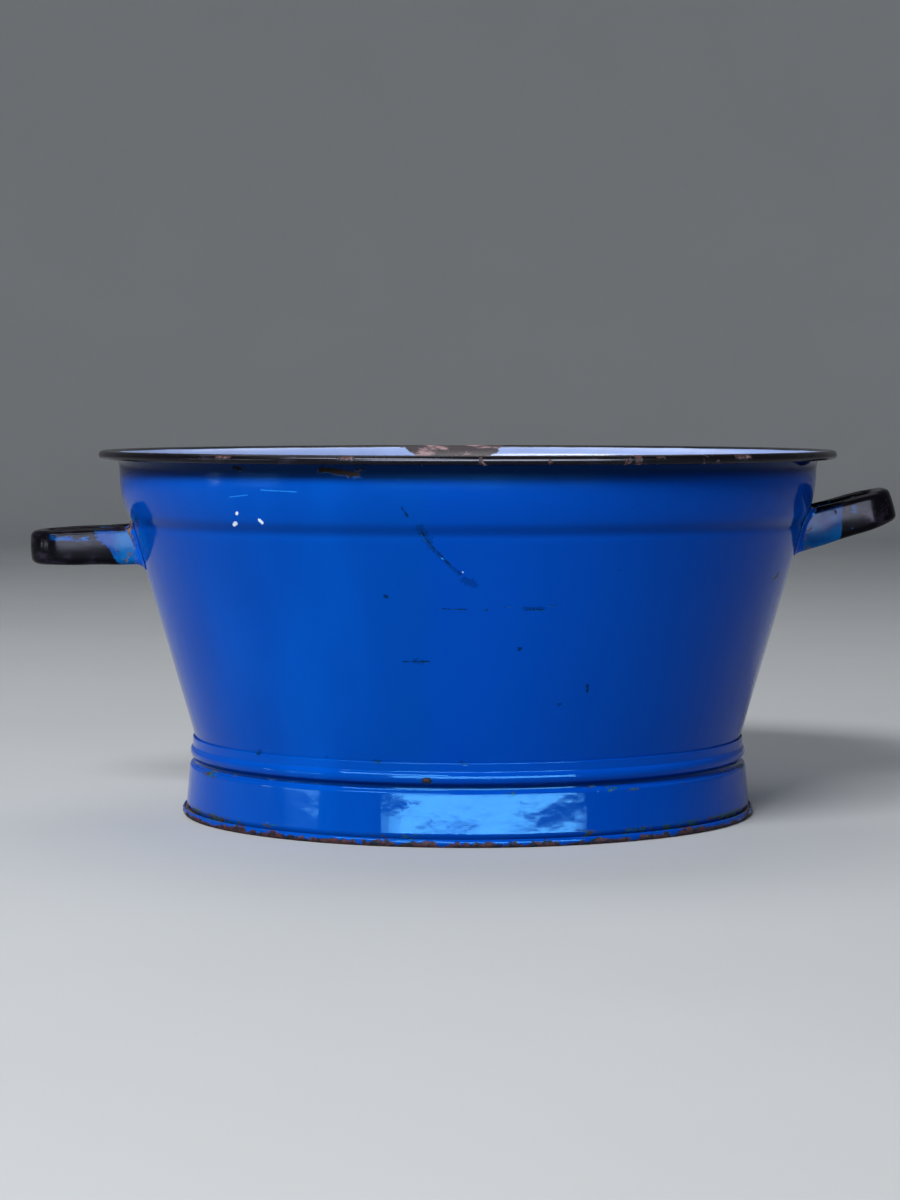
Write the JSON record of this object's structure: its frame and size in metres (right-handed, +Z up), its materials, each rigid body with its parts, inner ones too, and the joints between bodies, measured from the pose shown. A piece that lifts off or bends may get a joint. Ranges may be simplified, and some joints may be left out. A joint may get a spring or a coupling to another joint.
{
  "type": "oval wash tub",
  "caption": "Oval enamelled wash tub: tapered wall, rolled black rim, pale inside, lapped foot ring and a fixed hollow loop handle at each end.",
  "frame": {"origin": "on the surface that the tub stands on, on the upright axis of its ovals; the handles reach a few millimetres further on the left, so this is the bottom centre of the bounding box to within a few millimetres", "axes": "+X along the long axis of the oval, towards the handle that is tilted up; +Y to the rear; +Z up"},
  "size_m": [0.6005, 0.409, 0.252],
  "materials": {
    "blue_enamel": "gloss",
    "pale_enamel": "gloss",
    "black_enamel": "gloss",
    "bare_steel": "matte"
  },
  "bodies": {
    "root": {"wall": "blue_enamel", "rim_wire": "bare_steel", "floor_pan": "pale_enamel", "foot_ring": "blue_enamel", "foot_wire": "bare_steel", "left_grip": "black_enamel", "left_front_pad": "blue_enamel", "left_rear_pad": "blue_enamel", "right_grip": "black_enamel", "right_front_pad": "blue_enamel", "right_rear_pad": "blue_enamel"}
  },
  "joints": []
}
